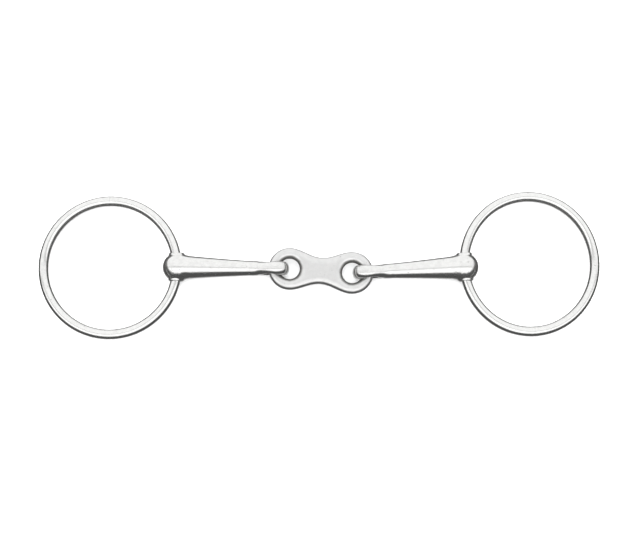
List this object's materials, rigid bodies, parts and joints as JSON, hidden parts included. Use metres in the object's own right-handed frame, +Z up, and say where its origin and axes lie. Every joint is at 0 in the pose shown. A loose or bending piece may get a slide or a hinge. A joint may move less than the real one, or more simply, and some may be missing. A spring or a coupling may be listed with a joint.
{
  "type": "snaffle bit",
  "caption": "Loose-ring snaffle bit with a jointed mouth: a flat centre link between tapered halves, each with a plain round ring that swings and takes the straps.",
  "frame": {"origin": "bottom centre of the bit's box as it lies flat, so Z is 0 on the surface it rests on", "axes": "+X along the mouthpiece towards ring_right, +Y across the mouthpiece in the plane it lies in, +Z up, square to the flat faces of the centre link"},
  "size_m": [0.2744, 0.0702, 0.0144],
  "materials": {
    "ring_steel": "drawn round steel wire, bent to a ring, butt welded and polished bright",
    "mouthpiece_steel": "cast stainless steel, polished bright by hand, with faint lengthwise polishing lines",
    "link_steel": "cast stainless steel plate, satin on the flat and polished on its rounded edges"
  },
  "bodies": {
    "link": {"centre_link": "link_steel"},
    "left_cannon": {"cannon_left": "mouthpiece_steel"},
    "right_cannon": {"cannon_right": "mouthpiece_steel"},
    "left_ring": {"ring_left": "ring_steel"},
    "right_ring": {"ring_right": "ring_steel"}
  },
  "joints": [
    {"name": "left_fold", "type": "hinge", "parent": "link", "child": "left_cannon", "pos_m": [-0.02265, -0.00184, 0.0072], "axis": [0.0218, 0.9998, 0], "range_deg": [-108, 108]},
    {"name": "right_fold", "type": "hinge", "parent": "link", "child": "right_cannon", "pos_m": [0.02276, -0.00376, 0.0072], "axis": [0.0489, -0.9988, 0], "range_deg": [-108, 108]},
    {"name": "left_ring_swing", "type": "hinge", "parent": "left_cannon", "child": "left_ring", "pos_m": [-0.07017, -0.0008, 0.0065], "axis": [0.0218, 0.9998, 0], "range_deg": [-170, 175]},
    {"name": "right_ring_swing", "type": "hinge", "parent": "right_cannon", "child": "right_ring", "pos_m": [0.07023, -0.00144, 0.0065], "axis": [0.0489, -0.9988, 0], "range_deg": [-170, 175]}
  ]
}
